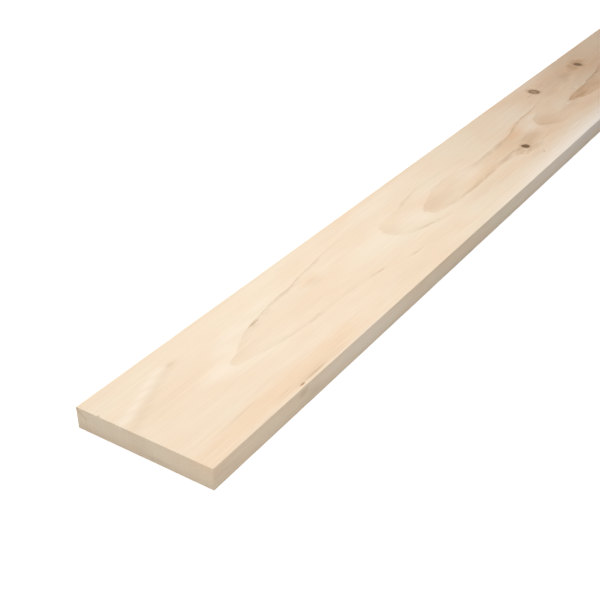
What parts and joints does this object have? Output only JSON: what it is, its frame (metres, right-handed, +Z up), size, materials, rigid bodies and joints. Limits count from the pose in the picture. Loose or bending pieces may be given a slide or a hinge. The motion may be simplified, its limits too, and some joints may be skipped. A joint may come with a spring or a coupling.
{
  "type": "softwood plank",
  "caption": "Straight softwood plank of flat rectangular section, planed on its faces and edges, with eased long edges and square-sawn ends, for boarding, shelving and framing.",
  "frame": {"origin": "middle of the underside, where the plank lies on the floor", "axes": "+X along the grain, from the sawn end nearest the picture's camera to the far end; +Y across the width, towards the edge on the left as seen from that near end; +Z up, out of the broad face that shows"},
  "size_m": [1.8, 0.145, 0.022],
  "materials": {
    "softwood": "planed smooth and left bare, with sawn ends"
  },
  "bodies": {
    "root": {"plank": "softwood"}
  },
  "joints": []
}
